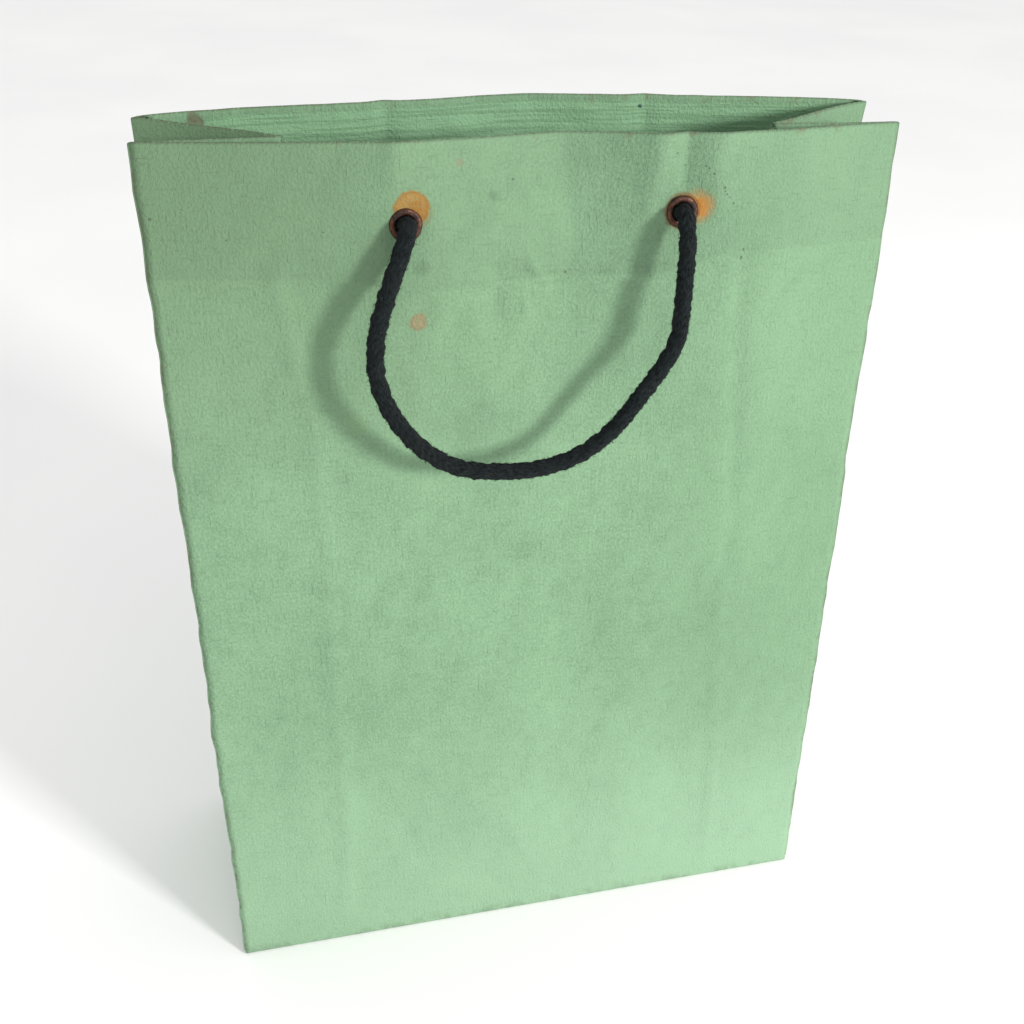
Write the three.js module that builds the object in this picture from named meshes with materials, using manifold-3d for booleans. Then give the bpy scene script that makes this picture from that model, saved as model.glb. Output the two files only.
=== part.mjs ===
// Standing gift bag: one folded paper sheet with a block bottom, gussets and a turned-in hem,
// four eyelets and two knotted rope handles. Millimetres, +Z up, origin at the centre of the
// base's underside, front wall towards -Y.
import * as THREE from 'three';
import { mergeVertices } from 'three/addons/utils/BufferGeometryUtils.js';
import Module from 'manifold-3d';

// ---- driving dimensions -------------------------------------------------------------------
const WIDTH = 240;            // front and rear wall
const DEPTH = 90;             // block bottom and opened gusset
const HEIGHT = 320;           // wall, measured along its slant
const GUSSET_FRONT = 43;      // the gusset's centre crease is a little off the middle
const GUSSET_REAR = DEPTH - GUSSET_FRONT;
const TIP_INSET = 42.86;      // how far the V at the mouth is pushed in, which sets every lean
const PAPER = 0.5;            // handmade paper
const CARD = 0.8;             // stiffener under the hem
const BOARD = 1.2;            // loose base card
const GAP = 0.3;              // between pieces that touch
const HEM = 44;               // depth of the turned-in hem
const HEM_INSET = 10;         // hem and card stop short of the side folds
const GUSSET_HEM_START = 17;  // the gusset's hem starts where the closed corner leaves room
const CREASE_GAP = 2.9;       // open pivot along the gusset's slanting creases

const EYELET_X = 44;
const EYELET_DROP = 24;       // eyelet centre below the top edge
const EYELET_HOLE = 3.05;
const EYELET_BARREL = 3.55;
const EYELET_FLANGE = 5.1;
const PAPER_HOLE = 3.9;

const CORD = 5.4;             // rope diameter
const CORD_SIDES = 10;
const KNOT_RADIUS = 6.2;
const KNOT_LENGTH = 10;
const PIVOT_OUT = 5.6;        // handle pivot, outwards from the wall's inner face

// Rope loop seen from outside, from one eyelet to the other: across, outwards and down from
// the midpoint between the two pivots.
const LOOP = [
  [-46.6, 4, 7], [-51.6, 8, 18], [-55.2, 11, 29], [-55.8, 13, 40], [-53, 15, 50],
  [-47.8, 16, 59.2], [-40.8, 17, 66.8], [-31, 17.5, 72.8], [-18, 18, 75.2], [-5, 18, 75.4],
  [8.2, 17.5, 72.2], [19.4, 16.5, 64.6], [29.2, 15, 52.8], [38.2, 12.6, 40.8], [40.8, 11.4, 35],
  [41.8, 9.5, 27], [42.7, 6.5, 16.5], [43.4, 3.5, 7],
];

// ---- finishes -----------------------------------------------------------------------------
const paper = new THREE.MeshStandardMaterial({ color: 0x9fc4a6, roughness: 0.95, metalness: 0 });
const card = new THREE.MeshStandardMaterial({ color: 0xb9ad93, roughness: 0.9, metalness: 0 });
const rope = new THREE.MeshStandardMaterial({ color: 0x151517, roughness: 0.95, metalness: 0 });
const copper = new THREE.MeshStandardMaterial({ color: 0x7a4a30, roughness: 0.5, metalness: 0.9 });

const group = new THREE.Group();
group.name = 'gift_bag';

// ---- helpers ------------------------------------------------------------------------------
const wasm = await Module();
wasm.setup();

function weld(geometry) {
  const bare = new THREE.BufferGeometry();
  bare.setAttribute('position', geometry.getAttribute('position').clone());
  if (geometry.index) bare.setIndex(geometry.index.clone());
  return mergeVertices(bare, 1e-4);
}

function signedVolume(geometry) {
  const p = geometry.getAttribute('position');
  const index = geometry.index.array;
  const [a, b, c] = [new THREE.Vector3(), new THREE.Vector3(), new THREE.Vector3()];
  let volume = 0;
  for (let i = 0; i < index.length; i += 3) {
    a.fromBufferAttribute(p, index[i]);
    b.fromBufferAttribute(p, index[i + 1]);
    c.fromBufferAttribute(p, index[i + 2]);
    volume += a.dot(b.cross(c)) / 6;
  }
  return volume;
}

// A welded copy whose faces all point outwards, whichever hand its mapping had.
function outward(geometry) {
  const solid = weld(geometry);
  if (signedVolume(solid) < 0) {
    const index = solid.index.array;
    for (let i = 0; i < index.length; i += 3) {
      [index[i + 1], index[i + 2]] = [index[i + 2], index[i + 1]];
    }
  }
  return solid;
}

function add(name, geometry, material) {
  const solid = outward(geometry);
  solid.computeVertexNormals();
  const mesh = new THREE.Mesh(solid, material);
  mesh.name = name;
  group.add(mesh);
}

function toManifold(geometry) {
  const solid = outward(geometry);
  return new wasm.Manifold(new wasm.Mesh({
    numProp: 3,
    vertProperties: new Float32Array(solid.getAttribute('position').array),
    triVerts: new Uint32Array(solid.index.array),
  }));
}

function subtract(geometry, tools) {
  const cut = tools.reduce((body, tool) => body.subtract(toManifold(tool)), toManifold(geometry));
  const mesh = cut.getMesh();
  const result = new THREE.BufferGeometry();
  result.setAttribute('position', new THREE.BufferAttribute(mesh.vertProperties, 3));
  result.setIndex(new THREE.BufferAttribute(mesh.triVerts, 1));
  return result;
}

// A sheet of paper or card lying on a surface. surface(across, up, depth) gives a point, and
// depth counts inwards from the surface, so a negative depth lies on its outer side.
function sheet(surface, { across, up, depth, cells }) {
  const geometry = new THREE.BoxGeometry(1, 1, 1, cells[0], cells[1], 1);
  geometry.translate(0.5, 0.5, 0.5);
  const p = geometry.getAttribute('position');
  for (let i = 0; i < p.count; i++) {
    const s = THREE.MathUtils.lerp(up[0], up[1], p.getY(i));
    const [low, high] = across(s);
    const u = THREE.MathUtils.lerp(low, high, p.getX(i));
    const point = surface(u, s, THREE.MathUtils.lerp(depth[0], depth[1], p.getZ(i)));
    p.setXYZ(i, point.x, point.y, point.z);
  }
  return geometry;
}

// ---- the bag's surfaces -------------------------------------------------------------------
// side is -1 for the front wall and +1 for the rear one; hand is -1 left and +1 right.
const gussetHalf = (side) => (side < 0 ? GUSSET_FRONT : GUSSET_REAR);

// A wall's lean over the base, from how far its half of the gusset is folded in at the mouth.
function lean(side) {
  const half = gussetHalf(side);
  const open = Math.sqrt(half ** 2 - TIP_INSET ** 2);
  return Math.asin(half / Math.hypot(HEIGHT, open)) - Math.atan2(open, HEIGHT);
}

const wallUp = (side) => new THREE.Vector3(0, -side * Math.sin(lean(side)), Math.cos(lean(side)));
const wallOut = (side) => new THREE.Vector3(0, side * Math.cos(lean(side)), Math.sin(lean(side)));

// The mouth is pinched at the side folds, so both walls belly out towards their middle. The
// front has a dip between its eyelets, the rear a fuller swell.
function belly(side, x, s) {
  const t = THREE.MathUtils.clamp((s - 110) / 210, 0, 1);
  const rise = t * t * (1.6 - 0.6 * t);
  const room = Math.max(0, 1 - (2 * x / WIDTH) ** 2);
  const middle = (width) => Math.exp(-(((x - 8) / width) ** 2));
  const front = 15 * room * (1 - 0.82 * middle(34));
  const rear = 10.5 * room ** 0.7 + 4.5 * room * middle(28);
  return rise * (side < 0 ? front : rear);
}

function wall(side) {
  const foot = new THREE.Vector3(0, side * DEPTH / 2, 0);
  return (x, s, depth) => foot.clone()
    .addScaledVector(wallUp(side), s)
    .addScaledVector(wallOut(side), belly(side, x, s) - depth)
    .add(new THREE.Vector3(x, 0, 0));
}

// Angle between a wall and the gusset triangle folded in behind it.
const fold = (side) => Math.acos(TIP_INSET / gussetHalf(side));
const SIDE_LEAN = Math.asin(TIP_INSET / HEIGHT);

function gussetSide(side, hand) {
  const foot = new THREE.Vector3(hand * WIDTH / 2, side * DEPTH / 2, 0);
  const inX = new THREE.Vector3(-hand, 0, 0);
  const along = inX.clone().multiplyScalar(Math.cos(fold(side)))
    .addScaledVector(wallOut(side), -Math.sin(fold(side)));
  const inward = inX.clone().multiplyScalar(Math.sin(fold(side)))
    .addScaledVector(wallOut(side), Math.cos(fold(side)));
  return (u, s, depth) => foot.clone()
    .addScaledVector(wallUp(side), s)
    .addScaledVector(along, u)
    .addScaledVector(inward, depth);
}

function gussetCentre(hand) {
  const foot = new THREE.Vector3(hand * WIDTH / 2, 0, 0);
  const rise = new THREE.Vector3(-hand * Math.sin(SIDE_LEAN), 0, Math.cos(SIDE_LEAN));
  const inward = new THREE.Vector3(-hand * Math.cos(SIDE_LEAN), 0, -Math.sin(SIDE_LEAN));
  return (y, s, depth) => foot.clone()
    .addScaledVector(rise, s)
    .addScaledVector(inward, depth)
    .add(new THREE.Vector3(0, y, 0));
}

// ---- eyelet seats -------------------------------------------------------------------------
// Centre of an eyelet on the wall's inner face, with the face's outward normal there.
function seat(side, hand) {
  const surface = wall(side);
  const [x, s, step] = [hand * EYELET_X, HEIGHT - EYELET_DROP, 3];
  const acrossWall = surface(x + step, s, 0).sub(surface(x - step, s, 0));
  const upWall = surface(x, s + step, 0).sub(surface(x, s - step, 0));
  const normal = acrossWall.cross(upWall).normalize().multiplyScalar(-side);
  return { point: surface(x, s, 0), normal };
}

// Puts a solid made around +Y at an eyelet, +Y pointing out of the bag.
function atSeat(geometry, { point, normal }) {
  const turn = new THREE.Quaternion().setFromUnitVectors(new THREE.Vector3(0, 1, 0), normal);
  return geometry.applyQuaternion(turn).translate(point.x, point.y, point.z);
}

const holes = (side) => [-1, 1].map((hand) =>
  atSeat(new THREE.CylinderGeometry(PAPER_HOLE, PAPER_HOLE, 30, 24), seat(side, hand)));

// ---- walls, stiffeners and hems -----------------------------------------------------------
function addWall(side, name) {
  const surface = wall(side);
  const full = () => [-WIDTH / 2, WIDTH / 2];
  const trimmed = () => [-WIDTH / 2 + HEM_INSET, WIDTH / 2 - HEM_INSET];
  const cardIn = GAP;
  const hemIn = GAP + CARD + GAP;
  const panel = sheet(surface, {
    across: full, up: [0.6, HEIGHT], depth: [-PAPER, 0], cells: [24, 14],
  });
  const stiffener = sheet(surface, {
    across: trimmed, up: [HEIGHT - HEM + 4, HEIGHT - 2], depth: [cardIn, cardIn + CARD], cells: [22, 4],
  });
  const hem = sheet(surface, {
    across: trimmed, up: [HEIGHT - HEM, HEIGHT - 0.3], depth: [hemIn, hemIn + PAPER], cells: [22, 4],
  });
  add(`${name}_panel`, subtract(panel, holes(side)), paper);
  add(`${name}_reinforcement_card`, subtract(stiffener, holes(side)), card);
  add(`${name}_hem`, subtract(hem, holes(side)), paper);
}

// Glued overlap of the sheet's two ends, inside the rear wall's left edge.
function addSeamTab() {
  add('side_seam_tab', sheet(wall(1), {
    across: () => [-WIDTH / 2 + 10, -WIDTH / 2 + 25],
    up: [12, HEIGHT - HEM - 4],
    depth: [GAP, GAP + PAPER],
    cells: [1, 8],
  }), paper);
}

// ---- gussets ------------------------------------------------------------------------------
// A pinched gusset folds along two slanting creases from the base corners to the tip of the
// V at the mouth: two outer triangles behind the walls and a long centre triangle between.
function addGusset(hand, name) {
  const start = 2;
  for (const [side, half] of [[-1, 'front'], [1, 'rear']]) {
    const crease = (s) => gussetHalf(side) * s / HEIGHT;
    const lowest = HEIGHT * (start + CREASE_GAP + 0.4) / gussetHalf(side);
    add(`${name}_gusset_${half}`, sheet(gussetSide(side, hand), {
      across: (s) => [start, crease(s) - CREASE_GAP],
      up: [lowest, HEIGHT - 0.3],
      depth: [-PAPER, 0],
      cells: [1, 1],
    }), paper);
    add(`${name}_gusset_${half}_hem`, sheet(gussetSide(side, hand), {
      across: (s) => [GUSSET_HEM_START, crease(s) - CREASE_GAP - 0.5],
      up: [HEIGHT - HEM, HEIGHT - 0.6],
      depth: [GAP, GAP + PAPER],
      cells: [1, 1],
    }), paper);
  }
  const edge = (side, s) => side * (DEPTH / 2 - gussetHalf(side) * s / HEIGHT - 1);
  add(`${name}_gusset_centre`, sheet(gussetCentre(hand), {
    across: (s) => [edge(-1, s), edge(1, s)],
    up: [0.6, HEIGHT * 0.955],
    depth: [-PAPER, 0],
    cells: [1, 1],
  }), paper);
}

// ---- block bottom -------------------------------------------------------------------------
function slab(outline, low, thickness) {
  const shape = new THREE.Shape(outline.map(([x, y]) => new THREE.Vector2(x, y)));
  const geometry = new THREE.ExtrudeGeometry(shape, { depth: thickness, bevelEnabled: false });
  return geometry.translate(0, 0, low);
}

function rectangle(x0, y0, x1, y1) {
  return [[x0, y0], [x1, y0], [x1, y1], [x0, y1]];
}

function addBase() {
  const halfX = WIDTH / 2 - 1.2;
  const halfY = DEPTH / 2 - 0.7;
  const lap = -17;              // free edge of the rear flap, glued over the front one
  const layer = PAPER + GAP;
  add('base_outer_flap', slab(rectangle(-halfX, lap, halfX, halfY), 0, PAPER), paper);

  // The front flap lies on the table near its fold, then climbs onto the rear flap.
  const step = [
    [-halfY, 0], [lap - 3, 0], [lap - 1, layer], [-lap, layer],
    [-lap, layer + PAPER], [lap - 1.2, layer + PAPER], [lap - 3.2, PAPER], [-halfY, PAPER],
  ];
  const flap = slab(step, -halfX, 2 * halfX);
  const toXYZ = new THREE.Matrix4().makeBasis(
    new THREE.Vector3(0, 1, 0), new THREE.Vector3(0, 0, 1), new THREE.Vector3(1, 0, 0));
  add('base_front_flap', flap.applyMatrix4(toXYZ), paper);

  for (const [hand, name] of [[-1, 'left'], [1, 'right']]) {
    const tuck = [[halfX, -halfY], [halfX, halfY], [halfX - 40, 5], [halfX - 40, -5]];
    const outline = tuck.map(([x, y]) => [hand * x, y]);
    add(`base_${name}_tuck`, slab(outline, 2 * layer, PAPER), paper);
  }
  add('base_board', slab(rectangle(-halfX + 2, -halfY + 2, halfX - 2, halfY - 2), 3 * layer, BOARD), card);
}

// ---- eyelets and rope handles -------------------------------------------------------------
const INNER_FACE = -(GAP + CARD + GAP + PAPER);    // hem's inner face, outwards being positive
const OUTER_FACE = PAPER;

// One-piece eyelet: flange outside, barrel through the layers, rolled rim inside.
function eyelet() {
  const top = OUTER_FACE + GAP;
  const bottom = INNER_FACE - GAP;
  const profile = [
    [EYELET_HOLE, top + 0.3], [EYELET_HOLE + 0.3, top + 0.7], [EYELET_FLANGE - 0.6, top + 0.6],
    [EYELET_FLANGE, top + 0.25], [EYELET_FLANGE - 0.1, top], [EYELET_BARREL, top],
    [EYELET_BARREL, bottom], [EYELET_FLANGE - 0.5, bottom], [EYELET_FLANGE - 0.3, bottom - 0.3],
    [EYELET_FLANGE - 0.5, bottom - 0.7], [EYELET_HOLE + 0.3, bottom - 0.7], [EYELET_HOLE, bottom - 0.3],
  ];
  const points = [...profile, profile[0]].map(([r, y]) => new THREE.Vector2(r, y));
  return new THREE.LatheGeometry(points, 28);
}

function knot(near) {
  const points = [];
  for (let i = 0; i <= 8; i++) {
    const a = Math.PI * i / 8;
    const r = i % 8 === 0 ? 0 : KNOT_RADIUS * Math.sin(a) ** 0.75;
    points.push(new THREE.Vector2(r, near - KNOT_LENGTH / 2 * (1 - Math.cos(a))));
  }
  return new THREE.LatheGeometry(points, 14);
}

function ropeStub(outer, inner) {
  const geometry = new THREE.CylinderGeometry(CORD / 2, CORD / 2, outer - inner, CORD_SIDES);
  return geometry.translate(0, (outer + inner) / 2, 0);
}

function pivot(side, hand) {
  const { point, normal } = seat(side, hand);
  return point.addScaledVector(normal, PIVOT_OUT);
}

function loopCurve(side) {
  const [left, right] = [pivot(side, -1), pivot(side, 1)];
  const middle = left.clone().add(right).divideScalar(2);
  const route = LOOP.map(([x, out, down]) =>
    new THREE.Vector3(-side * x, side * out, -down).add(middle));
  const ends = side < 0 ? [left, right] : [right, left];
  return new THREE.CatmullRomCurve3([ends[0], ...route, ends[1]]);
}

function ropeLoop(side) {
  const section = new THREE.Shape();
  for (let i = 0; i < CORD_SIDES; i++) {
    const a = 2 * Math.PI * i / CORD_SIDES;
    const [x, y] = [CORD / 2 * Math.cos(a), CORD / 2 * Math.sin(a)];
    if (i === 0) section.moveTo(x, y);
    else section.lineTo(x, y);
  }
  section.closePath();
  return new THREE.ExtrudeGeometry(section, {
    steps: 26, bevelEnabled: false, extrudePath: loopCurve(side),
  });
}

function addHandle(side, name) {
  const rim = INNER_FACE - GAP - 0.7;
  const stubInner = rim - 0.4;
  for (const [hand, which] of [[-1, 'left'], [1, 'right']]) {
    const at = seat(side, hand);
    add(`${name}_${which}_eyelet`, atSeat(eyelet(), at), copper);
    add(`${name}_${which}_cord_end`, atSeat(ropeStub(PIVOT_OUT - CORD / 2 - GAP, stubInner), at), rope);
    add(`${name}_${which}_knot`, atSeat(knot(stubInner - GAP), at), rope);
  }
  add(`${name}_handle_cord`, ropeLoop(side), rope);
}

// ---- assembly -----------------------------------------------------------------------------
addBase();
addWall(-1, 'front');
addWall(1, 'rear');
addSeamTab();
addGusset(-1, 'left');
addGusset(1, 'right');
addHandle(-1, 'front');
addHandle(1, 'rear');

export default group;
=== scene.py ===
"""Gift bag of handmade paper with tarnished eyelets and black rope handles: the visible model.

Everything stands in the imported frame: metres, +Z up, front wall towards -Y. Shapes are worked
out in millimetres and scaled to metres where a mesh is made. On a wall, x is across and s is
up along its slant; side is -1 for front and +1 for rear, hand is -1 for left and +1 for right.
"""
import math

import bpy
import numpy as np
from mathutils import Matrix, Vector


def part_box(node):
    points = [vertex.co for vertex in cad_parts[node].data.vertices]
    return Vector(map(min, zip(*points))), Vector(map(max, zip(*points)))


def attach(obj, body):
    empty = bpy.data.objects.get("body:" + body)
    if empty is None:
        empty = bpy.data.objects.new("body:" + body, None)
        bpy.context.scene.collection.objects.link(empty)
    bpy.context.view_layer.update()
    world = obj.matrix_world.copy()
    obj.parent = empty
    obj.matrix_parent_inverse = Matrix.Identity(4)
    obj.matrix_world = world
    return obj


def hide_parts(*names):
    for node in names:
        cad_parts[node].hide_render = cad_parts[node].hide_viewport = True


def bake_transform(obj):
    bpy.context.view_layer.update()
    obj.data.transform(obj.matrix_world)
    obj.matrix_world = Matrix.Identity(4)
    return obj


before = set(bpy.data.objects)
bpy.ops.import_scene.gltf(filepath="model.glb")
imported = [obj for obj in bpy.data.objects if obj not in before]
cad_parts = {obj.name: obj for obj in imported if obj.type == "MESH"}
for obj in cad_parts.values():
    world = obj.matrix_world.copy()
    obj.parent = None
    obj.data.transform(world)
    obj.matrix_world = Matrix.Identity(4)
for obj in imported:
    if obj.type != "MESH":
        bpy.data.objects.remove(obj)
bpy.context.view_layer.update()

MM = 0.001

# ---- driving dimensions, in millimetres ----
WIDTH, DEPTH, HEIGHT = 240.0, 90.0, 320.0
GUSSET = {-1: 43.0, 1: 47.0}  # gusset halves behind the front (-1) and rear (+1) wall
TIP_INSET = 42.86  # how far the V at the mouth is pushed in
HEM = 44.0
HEM_INSET = 10.0  # stiffener and gusset hems stop short of the side folds
HEM_TRIM = 4.6  # a wall hem's corner is mitred by this much
FOLD_UP = 0.55  # radius of the fold over the mouth
FLAP = 60.0  # depth of a wall's bottom flap
TUCK = 39.0  # depth of a gusset's bottom tuck
PAPER = 0.5
STIFFENER, BOARD = 0.4, 1.1  # card thicknesses
TAB = (10.0, 25.0)  # glue lap of the side seam, inwards from the rear left fold
EYELET_X, EYELET_DROP = 44.0, 24.0
EYELET_HOLE = 3.9  # hole in the paper
ROPE = 5.4
STRANDS, BRAID_PITCH, HAIRS = 7, 17.0, 4200
KNOT_INSIDE = 7.6  # a knot's middle, inwards from its eyelet's seat
PIVOT_OUT = 5.6  # where a rope handle pivots, outwards from its eyelet's seat
SEAT_FLAT = 7.0  # finer mesh this near to an eyelet

SIDES = {-1: "front", 1: "rear"}
HANDS = {-1: "left", 1: "right"}

# The rope loop seen from outside, across, outwards and down from the pivots' midpoint.
LOOP = [
    (-0.0466, 0.004, 0.007), (-0.0516, 0.008, 0.018), (-0.0552, 0.011, 0.029),
    (-0.0558, 0.013, 0.04), (-0.053, 0.015, 0.05), (-0.0478, 0.016, 0.0592),
    (-0.0408, 0.017, 0.0668), (-0.031, 0.0175, 0.0728), (-0.018, 0.018, 0.0752),
    (-0.005, 0.018, 0.0754), (0.0082, 0.0175, 0.0722), (0.0194, 0.0165, 0.0646),
    (0.0292, 0.015, 0.0528), (0.0382, 0.0126, 0.0408), (0.0408, 0.0114, 0.035),
    (0.0418, 0.0095, 0.027), (0.0427, 0.0065, 0.0165), (0.0434, 0.0035, 0.007),
]


# ---- the bag's surfaces ----
def lean(side):
    """Angle by which the pinched gusset pulls a wall inwards from upright."""
    half = GUSSET[side]
    opening = math.sqrt(half**2 - TIP_INSET**2)
    return math.asin(half / math.hypot(HEIGHT, opening)) - math.atan2(opening, HEIGHT)


def up(side):
    """Direction up along a wall's slant."""
    return np.array([0.0, -side * math.sin(lean(side)), math.cos(lean(side))])


def out(side):
    """Direction square out of a wall."""
    return np.array([0.0, side * math.cos(lean(side)), math.sin(lean(side))])


def bump(x, centre, width):
    """A bell curve of height 1."""
    return np.exp(-(((x - centre) / width) ** 2))


def smooth(x, low, high):
    """0 below low, 1 above high, with a smooth step between."""
    t = np.clip((x - low) / (high - low), 0, 1)
    return t * t * (3 - 2 * t)


def waves(seed, count, shortest, longest):
    """A smooth random height over a sheet, from plane waves of those lengths in millimetres."""
    rng = np.random.default_rng(seed)
    length = np.exp(rng.uniform(math.log(shortest), math.log(longest), count))
    angle = rng.uniform(0, 2 * math.pi, count)
    phase = rng.uniform(0, 2 * math.pi, count)
    strength = rng.uniform(0.5, 1, count) / math.sqrt(count)

    def height(x, s):
        total = np.zeros(np.broadcast(x, s).shape)
        for l, a, p, k in zip(length, angle, phase, strength):
            along = x * math.cos(a) + s * math.sin(a)
            total = total + k * np.sin(2 * math.pi / l * along + p)
        return total

    return height


# Slack in the paper of the walls (-1 and 1) and of the rest (0), small ripples, and rubbed folds.
SLOW = {-1: waves(3, 16, 38, 120), 1: waves(4, 16, 38, 120), 0: waves(5, 14, 35, 110)}
QUICK = {-1: waves(6, 30, 8, 24), 1: waves(7, 30, 8, 24)}
WOBBLE = {-1: waves(31, 22, 9, 120), 1: waves(32, 22, 9, 120)}


def belly(side, x, s):
    """How far a wall swells outwards: the same swell as the frame's."""
    t = np.clip((s - 110) / 210, 0, 1)
    rise = t * t * (1.6 - 0.6 * t)
    room = np.clip(1 - (2 * x / WIDTH) ** 2, 0, 1)
    if side < 0:
        return rise * 15 * room * (1 - 0.82 * bump(x, 8, 34))
    return rise * (10.5 * room**0.7 + 4.5 * room * bump(x, 8, 28))


# Creases: (height, width of their flank, points x across and s up the wall).
CREASES = {
    -1: [
        (-1.0, 9.0, [(7, 275), (12, 286), (9, 298), (5, 322)]),
        (-0.60, 1.8, [(-26, 283), (-10, 279), (0, 276.5), (9, 276.5), (20, 278)]),
        (0.6, 2.4, [(-12, 271), (4, 272.5), (12, 273.5), (28, 275.5)]),
        (-0.5, 3.5, [(-15.5, 282), (-15.7, 267), (-13, 258)]),
        (0.55, 1.3, [(-4.5, 282), (-1.9, 278.2), (1.6, 273.4)]),
        (0.40, 1.2, [(-6.5, 270), (-4.6, 265)]),
        (-1.5, 4.2, [(43.5, 323), (43.5, 312), (44.5, 303)]),
        (1.1, 3.6, [(34.5, 323), (35, 310), (33, 297)]),
        (0.8, 4.5, [(53.5, 323), (53, 311), (57, 298)]),
        (0.9, 5.0, [(-48, 323), (-47, 311)]),
        (-0.5, 6.0, [(-30, 323), (-29, 309), (-24, 296)]),
        (0.55, 2.4, [(-83.4, 279), (-76, 235), (-74.3, 193), (-75.3, 126), (-74.7, 58), (-78, 14)]),
        (-0.55, 2.4, [(66.5, 284), (66.9, 269), (71.5, 221), (75.1, 176), (74, 160)]),
        (0.45, 1.6, [(74, 158), (77.6, 91), (81, 6)]),
        (-0.30, 1.6, [(40, 52), (60, 54.5), (92, 57.4), (117, 60)]),
        (0.28, 1.4, [(-117, 40), (-95, 44), (-70, 46)]),
    ],
    1: [
        (-0.5, 2.4, [(-77, 282), (-76, 190), (-74, 60)]),
        (0.5, 2.4, [(75, 270), (76, 150), (79, 20)]),
        (0.30, 1.6, [(-115, 46), (-20, 47), (112, 45)]),
        (0.8, 5.0, [(-44, 323), (-43, 305)]),
        (0.9, 5.0, [(44, 323), (45, 306)]),
        (-0.6, 4.0, [(20, 300), (-12, 284), (-30, 262)]),
    ],
}


def crease_relief(side, x, s):
    """Height of all of a wall's creases together."""
    relief = np.zeros(np.broadcast(x, s).shape)
    for height, width, points in CREASES[side]:
        nearest = np.full(relief.shape, 1e9)
        for (x0, s0), (x1, s1) in zip(points, points[1:]):
            dx, ds = x1 - x0, s1 - s0
            t = np.clip(((x - x0) * dx + (s - s0) * ds) / (dx * dx + ds * ds), 0, 1)
            nearest = np.minimum(nearest, np.hypot(x - x0 - t * dx, s - s0 - t * ds))
        relief += height * np.exp(-((nearest / width) ** 1.4))
    return relief


def hem_edge(side, x):
    """Where the hem ends, seen through the wall: a torn edge, so not quite level."""
    if side > 0:
        return HEIGHT - HEM + 1.2 * np.sin(x / 31)
    return HEIGHT - HEM + 4.5 * smooth(-x, 30, 70) + 6.5 * smooth(x, 40, 64) + 0.5 * np.sin(x / 7)


def eyelet_distance(x, s):
    """Distance to the nearer eyelet's centre; s goes on past the mouth, down the hem."""
    return np.hypot(np.abs(x) - EYELET_X, np.abs(s - HEIGHT) - EYELET_DROP)


def dents(side, x, s):
    """The paper's own small relief: slack, old fold lines, and the stiffener's edge."""
    room = np.clip(1 - (2 * x / WIDTH) ** 6, 0, 1) * smooth(s, 1, 26)
    relief = 1.1 * SLOW[side](x, s) + 0.20 * QUICK[side](x, s) + 1.7 * crease_relief(side, x, s)
    edge = hem_edge(side, x)
    relief += 1.0 * smooth(s, edge - 2.0, edge + 0.6) * np.exp(-np.clip(s - edge, 0, 40) / 16)
    if side < 0:  # the mouth flares between handle and corner
        relief += 2.6 * smooth(s, 297, 320) * bump(x, 42, 40)
    relief *= room
    return relief - relief * np.exp(-((eyelet_distance(x, s) / 6.5) ** 4))  # pressed flat there


def wobble(hand, s):
    """How far a rubbed side fold stands off its straight line."""
    return hand * 0.42 * WOBBLE[hand](0 * s, s) * smooth(s, 3, 16) * (1 - smooth(s, 300, 318))


def wall(side, x, s, depth):
    """A point at x across and s up a wall; depth counts inwards from the wall's inner face."""
    x, s, depth = (np.asarray(v, float) for v in np.broadcast_arrays(x, s, depth))
    swell = belly(side, x, s) + dents(side, x, s) - depth
    near_fold = np.abs(2 * x / WIDTH) ** 24
    x = x + near_fold * np.where(x < 0, wobble(-1, s), wobble(1, s))
    point = s[..., None] * up(side) + swell[..., None] * out(side)
    return point + np.stack([x, np.full_like(x, side * DEPTH / 2), np.zeros_like(x)], -1)


def fold_angle(side):
    """Angle between a wall and the gusset half folded in behind it."""
    return math.acos(TIP_INSET / GUSSET[side])


def gusset_axes(side, hand):
    """Directions along a gusset half, away from its wall, and inwards through it."""
    inwards_x = np.array([-hand, 0.0, 0.0])
    a = fold_angle(side)
    along = math.cos(a) * inwards_x - math.sin(a) * out(side)
    inward = math.sin(a) * inwards_x + math.cos(a) * out(side)
    return along, inward


def corner(side, hand):
    """A corner of the bag's foot."""
    return np.array([hand * WIDTH / 2, side * DEPTH / 2, 0.0])


def swell_point(side, x, s):
    """A point on a wall's inner face, without the paper's small relief."""
    foot = np.array([x, side * DEPTH / 2, 0.0])
    return foot + s * up(side) + float(belly(side, x, s)) * out(side)


def seat(side, hand):
    """An eyelet's centre on the wall's inner face, and the outward normal there."""
    x, s, step = hand * EYELET_X, HEIGHT - EYELET_DROP, 3.0
    across = swell_point(side, x + step, s) - swell_point(side, x - step, s)
    upward = swell_point(side, x, s + step) - swell_point(side, x, s - step)
    normal = np.cross(across, upward)
    return swell_point(side, x, s), -side * normal / np.linalg.norm(normal)


# ---- mesh helpers ----
def make_object(name, points_mm, faces, material, uv_mm=None):
    """A smooth-shaded mesh in the scene, scaled to metres."""
    mesh = bpy.data.meshes.new(name)
    mesh.from_pydata([tuple(p) for p in np.asarray(points_mm) * MM], [], faces)
    if uv_mm is not None:
        layer = mesh.uv_layers.new(name="sheet")
        loop_vertex = np.zeros(len(mesh.loops), np.int32)
        mesh.loops.foreach_get("vertex_index", loop_vertex)
        layer.data.foreach_set("uv", (np.asarray(uv_mm)[loop_vertex] * MM).astype(np.float32).ravel())
    mesh.polygons.foreach_set("use_smooth", [True] * len(mesh.polygons))
    mesh.materials.append(material)
    mesh.update()
    obj = bpy.data.objects.new(name, mesh)
    bpy.context.scene.collection.objects.link(obj)
    return obj


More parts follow.
